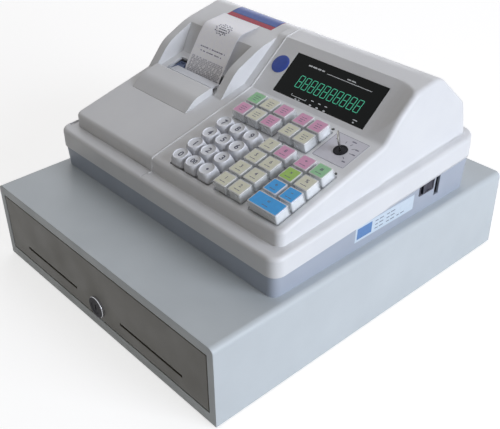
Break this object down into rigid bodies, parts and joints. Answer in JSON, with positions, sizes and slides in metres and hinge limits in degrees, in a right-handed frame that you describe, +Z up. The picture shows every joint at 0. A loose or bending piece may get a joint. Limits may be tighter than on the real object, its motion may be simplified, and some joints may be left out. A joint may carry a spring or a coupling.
{
  "type": "ticket register",
  "caption": "Electronic register with a ticket printer, a sloping keyboard and a lit display, standing on a steel cash drawer.",
  "frame": {"origin": "middle of the footprint, on the surface that the feet stand on", "axes": "+X to the operator's right, +Y to the back, +Z up"},
  "size_m": [0.35, 0.405, 0.2243],
  "materials": {
    "drawer_paint": "fine powder coat",
    "front_paint": "fine powder coat",
    "zinc_steel": "zinc plated sheet",
    "rubber": "moulded",
    "tray_plastic": "moulded",
    "lock_chrome": "turned and plated",
    "latch_plastic": "moulded",
    "grey_plastic": "fine spark texture",
    "pale_plastic": "fine spark texture",
    "dark_plastic": "moulded",
    "paper": "thermal paper",
    "display_plastic": "smoked window",
    "board": "solder mask",
    "key_metal": "plated",
    "number_plastic": "moulded",
    "cap_cream": "clear cap over a paper insert",
    "cap_pink": "clear cap over a paper insert",
    "cap_green": "clear cap over a paper insert",
    "cap_lime": "clear cap over a paper insert",
    "cap_blue": "clear cap over a paper insert"
  },
  "bodies": {
    "case": {"drawer_case": "drawer_paint", "rubber_feet": "rubber", "case_rails": "zinc_steel", "latch_solenoid": "latch_plastic", "base_shell": "grey_plastic", "upper_case": "pale_plastic", "printer_frame": "dark_plastic", "display_window": "display_plastic", "circuit_boards": "board"},
    "drawer": {"drawer_box": "zinc_steel", "drawer_front": "front_paint", "cash_tray": "tray_plastic", "lock_barrel": "lock_chrome"},
    "bill_clips": {"bill_clips": "tray_plastic"},
    "lock_plug": {"lock_plug": "lock_chrome"},
    "latch": {"drawer_latch": "zinc_steel"},
    "cover": {"printer_cover": "pale_plastic", "tear_cover": "pale_plastic", "receipt_paper": "paper"},
    "platen": {"platen_roller": "rubber"},
    "paper_roll": {"paper_roll": "paper"},
    "mode_key": {"mode_key": "key_metal"},
    "power_switch": {"power_switch": "dark_plastic"},
    "key_0": {"key_0": "number_plastic"},
    "key_00": {"key_00": "number_plastic"},
    "key_point": {"key_point": "number_plastic"},
    "key_1": {"key_1": "number_plastic"},
    "key_2": {"key_2": "number_plastic"},
    "key_3": {"key_3": "number_plastic"},
    "key_4": {"key_4": "number_plastic"},
    "key_5": {"key_5": "number_plastic"},
    "key_6": {"key_6": "number_plastic"},
    "key_7": {"key_7": "number_plastic"},
    "key_8": {"key_8": "number_plastic"},
    "key_9": {"key_9": "number_plastic"},
    "department_key_1": {"department_key_1": "cap_cream"},
    "department_key_2": {"department_key_2": "cap_cream"},
    "department_key_3": {"department_key_3": "cap_cream"},
    "department_key_4": {"department_key_4": "cap_cream"},
    "department_key_5": {"department_key_5": "cap_cream"},
    "department_key_6": {"department_key_6": "cap_cream"},
    "department_key_7": {"department_key_7": "cap_cream"},
    "department_key_8": {"department_key_8": "cap_pink"},
    "tender_key_1": {"tender_key_1": "cap_blue"},
    "tender_key_2": {"tender_key_2": "cap_blue"},
    "tender_key_3": {"tender_key_3": "cap_lime"},
    "tender_key_4": {"tender_key_4": "cap_cream"},
    "tender_key_5": {"tender_key_5": "cap_pink"},
    "tender_key_6": {"tender_key_6": "cap_green"},
    "total_key": {"total_key": "cap_blue"},
    "function_key_1": {"function_key_1": "cap_pink"},
    "function_key_2": {"function_key_2": "cap_cream"},
    "function_key_3": {"function_key_3": "cap_pink"},
    "function_key_4": {"function_key_4": "cap_cream"},
    "function_key_5": {"function_key_5": "cap_cream"},
    "function_key_6": {"function_key_6": "cap_green"},
    "function_key_7": {"function_key_7": "cap_cream"},
    "function_key_8": {"function_key_8": "cap_pink"},
    "function_key_9": {"function_key_9": "cap_pink"},
    "function_key_10": {"function_key_10": "cap_pink"}
  },
  "joints": [
    {"name": "drawer_slide", "type": "slide", "parent": "case", "child": "drawer", "axis": [0, -1, 0], "range_m": [0, 0.28]},
    {"name": "bill_clip_lift", "type": "hinge", "parent": "drawer", "child": "bill_clips", "pos_m": [0, 0.0964, 0.066], "axis": [-1, 0, 0], "range_deg": [0, 26]},
    {"name": "lock_turn", "type": "hinge", "parent": "drawer", "child": "lock_plug", "pos_m": [0, -0.2, 0.029], "axis": [0, 1, 0], "range_deg": [0, 90]},
    {"name": "latch_swing", "type": "hinge", "parent": "case", "child": "latch", "pos_m": [0, 0.19, 0.058], "axis": [1, 0, 0], "range_deg": [0, 10]},
    {"name": "printer_cover_lift", "type": "hinge", "parent": "case", "child": "cover", "pos_m": [-0.09, 0.144, 0.1685], "axis": [-1, 0, 0], "range_deg": [0, 65]},
    {"name": "platen_spin", "type": "hinge", "parent": "cover", "child": "platen", "pos_m": [-0.095, 0.006, 0.1636], "axis": [1, 0, 0], "continuous": true},
    {"name": "paper_roll_spin", "type": "hinge", "parent": "case", "child": "paper_roll", "pos_m": [-0.09325, 0.09, 0.151], "axis": [1, 0, 0], "continuous": true},
    {"name": "mode_key_turn", "type": "hinge", "parent": "case", "child": "mode_key", "pos_m": [0.1245, -0.00046, 0.17481], "axis": [0, -0.2428, 0.9701], "range_deg": [-60, 90]},
    {"name": "power_rocker", "type": "hinge", "parent": "case", "child": "power_switch", "pos_m": [0.15675, 0.085, 0.117], "axis": [0, 0, 1], "range_deg": [-12, 0]},
    {"name": "key_0_press", "type": "slide", "parent": "case", "child": "key_0", "axis": [0, 0.2428, -0.9701], "range_m": [0, 0.003], "stiffness_N_per_m": 120, "springref_m": -0.002},
    {"name": "key_00_press", "type": "slide", "parent": "case", "child": "key_00", "axis": [0, 0.2428, -0.9701], "range_m": [0, 0.003], "stiffness_N_per_m": 120, "springref_m": -0.002},
    {"name": "key_point_press", "type": "slide", "parent": "case", "child": "key_point", "axis": [0, 0.2428, -0.9701], "range_m": [0, 0.003], "stiffness_N_per_m": 120, "springref_m": -0.002},
    {"name": "key_1_press", "type": "slide", "parent": "case", "child": "key_1", "axis": [0, 0.2428, -0.9701], "range_m": [0, 0.003], "stiffness_N_per_m": 120, "springref_m": -0.002},
    {"name": "key_2_press", "type": "slide", "parent": "case", "child": "key_2", "axis": [0, 0.2428, -0.9701], "range_m": [0, 0.003], "stiffness_N_per_m": 120, "springref_m": -0.002},
    {"name": "key_3_press", "type": "slide", "parent": "case", "child": "key_3", "axis": [0, 0.2428, -0.9701], "range_m": [0, 0.003], "stiffness_N_per_m": 120, "springref_m": -0.002},
    {"name": "key_4_press", "type": "slide", "parent": "case", "child": "key_4", "axis": [0, 0.2428, -0.9701], "range_m": [0, 0.003], "stiffness_N_per_m": 120, "springref_m": -0.002},
    {"name": "key_5_press", "type": "slide", "parent": "case", "child": "key_5", "axis": [0, 0.2428, -0.9701], "range_m": [0, 0.003], "stiffness_N_per_m": 120, "springref_m": -0.002},
    {"name": "key_6_press", "type": "slide", "parent": "case", "child": "key_6", "axis": [0, 0.2428, -0.9701], "range_m": [0, 0.003], "stiffness_N_per_m": 120, "springref_m": -0.002},
    {"name": "key_7_press", "type": "slide", "parent": "case", "child": "key_7", "axis": [0, 0.2428, -0.9701], "range_m": [0, 0.003], "stiffness_N_per_m": 120, "springref_m": -0.002},
    {"name": "key_8_press", "type": "slide", "parent": "case", "child": "key_8", "axis": [0, 0.2428, -0.9701], "range_m": [0, 0.003], "stiffness_N_per_m": 120, "springref_m": -0.002},
    {"name": "key_9_press", "type": "slide", "parent": "case", "child": "key_9", "axis": [0, 0.2428, -0.9701], "range_m": [0, 0.003], "stiffness_N_per_m": 120, "springref_m": -0.002},
    {"name": "department_key_1_press", "type": "slide", "parent": "case", "child": "department_key_1", "axis": [0, 0.2428, -0.9701], "range_m": [0, 0.003], "stiffness_N_per_m": 120, "springref_m": -0.002},
    {"name": "department_key_2_press", "type": "slide", "parent": "case", "child": "department_key_2", "axis": [0, 0.2428, -0.9701], "range_m": [0, 0.003], "stiffness_N_per_m": 120, "springref_m": -0.002},
    {"name": "department_key_3_press", "type": "slide", "parent": "case", "child": "department_key_3", "axis": [0, 0.2428, -0.9701], "range_m": [0, 0.003], "stiffness_N_per_m": 120, "springref_m": -0.002},
    {"name": "department_key_4_press", "type": "slide", "parent": "case", "child": "department_key_4", "axis": [0, 0.2428, -0.9701], "range_m": [0, 0.003], "stiffness_N_per_m": 120, "springref_m": -0.002},
    {"name": "department_key_5_press", "type": "slide", "parent": "case", "child": "department_key_5", "axis": [0, 0.2428, -0.9701], "range_m": [0, 0.003], "stiffness_N_per_m": 120, "springref_m": -0.002},
    {"name": "department_key_6_press", "type": "slide", "parent": "case", "child": "department_key_6", "axis": [0, 0.2428, -0.9701], "range_m": [0, 0.003], "stiffness_N_per_m": 120, "springref_m": -0.002},
    {"name": "department_key_7_press", "type": "slide", "parent": "case", "child": "department_key_7", "axis": [0, 0.2428, -0.9701], "range_m": [0, 0.003], "stiffness_N_per_m": 120, "springref_m": -0.002},
    {"name": "department_key_8_press", "type": "slide", "parent": "case", "child": "department_key_8", "axis": [0, 0.2428, -0.9701], "range_m": [0, 0.003], "stiffness_N_per_m": 120, "springref_m": -0.002},
    {"name": "tender_key_1_press", "type": "slide", "parent": "case", "child": "tender_key_1", "axis": [0, 0.2428, -0.9701], "range_m": [0, 0.003], "stiffness_N_per_m": 120, "springref_m": -0.002},
    {"name": "tender_key_2_press", "type": "slide", "parent": "case", "child": "tender_key_2", "axis": [0, 0.2428, -0.9701], "range_m": [0, 0.003], "stiffness_N_per_m": 120, "springref_m": -0.002},
    {"name": "tender_key_3_press", "type": "slide", "parent": "case", "child": "tender_key_3", "axis": [0, 0.2428, -0.9701], "range_m": [0, 0.003], "stiffness_N_per_m": 120, "springref_m": -0.002},
    {"name": "tender_key_4_press", "type": "slide", "parent": "case", "child": "tender_key_4", "axis": [0, 0.2428, -0.9701], "range_m": [0, 0.003], "stiffness_N_per_m": 120, "springref_m": -0.002},
    {"name": "tender_key_5_press", "type": "slide", "parent": "case", "child": "tender_key_5", "axis": [0, 0.2428, -0.9701], "range_m": [0, 0.003], "stiffness_N_per_m": 120, "springref_m": -0.002},
    {"name": "tender_key_6_press", "type": "slide", "parent": "case", "child": "tender_key_6", "axis": [0, 0.2428, -0.9701], "range_m": [0, 0.003], "stiffness_N_per_m": 120, "springref_m": -0.002},
    {"name": "total_key_press", "type": "slide", "parent": "case", "child": "total_key", "axis": [0, 0.2428, -0.9701], "range_m": [0, 0.003], "stiffness_N_per_m": 120, "springref_m": -0.002},
    {"name": "function_key_1_press", "type": "slide", "parent": "case", "child": "function_key_1", "axis": [0, 0.2428, -0.9701], "range_m": [0, 0.003], "stiffness_N_per_m": 120, "springref_m": -0.002},
    {"name": "function_key_2_press", "type": "slide", "parent": "case", "child": "function_key_2", "axis": [0, 0.2428, -0.9701], "range_m": [0, 0.003], "stiffness_N_per_m": 120, "springref_m": -0.002},
    {"name": "function_key_3_press", "type": "slide", "parent": "case", "child": "function_key_3", "axis": [0, 0.2428, -0.9701], "range_m": [0, 0.003], "stiffness_N_per_m": 120, "springref_m": -0.002},
    {"name": "function_key_4_press", "type": "slide", "parent": "case", "child": "function_key_4", "axis": [0, 0.2428, -0.9701], "range_m": [0, 0.003], "stiffness_N_per_m": 120, "springref_m": -0.002},
    {"name": "function_key_5_press", "type": "slide", "parent": "case", "child": "function_key_5", "axis": [0, 0.2428, -0.9701], "range_m": [0, 0.003], "stiffness_N_per_m": 120, "springref_m": -0.002},
    {"name": "function_key_6_press", "type": "slide", "parent": "case", "child": "function_key_6", "axis": [0, 0.2428, -0.9701], "range_m": [0, 0.003], "stiffness_N_per_m": 120, "springref_m": -0.002},
    {"name": "function_key_7_press", "type": "slide", "parent": "case", "child": "function_key_7", "axis": [0, 0.2428, -0.9701], "range_m": [0, 0.003], "stiffness_N_per_m": 120, "springref_m": -0.002},
    {"name": "function_key_8_press", "type": "slide", "parent": "case", "child": "function_key_8", "axis": [0, 0.2428, -0.9701], "range_m": [0, 0.003], "stiffness_N_per_m": 120, "springref_m": -0.002},
    {"name": "function_key_9_press", "type": "slide", "parent": "case", "child": "function_key_9", "axis": [0, 0.2428, -0.9701], "range_m": [0, 0.003], "stiffness_N_per_m": 120, "springref_m": -0.002},
    {"name": "function_key_10_press", "type": "slide", "parent": "case", "child": "function_key_10", "axis": [0, 0.2428, -0.9701], "range_m": [0, 0.003], "stiffness_N_per_m": 120, "springref_m": -0.002}
  ]
}
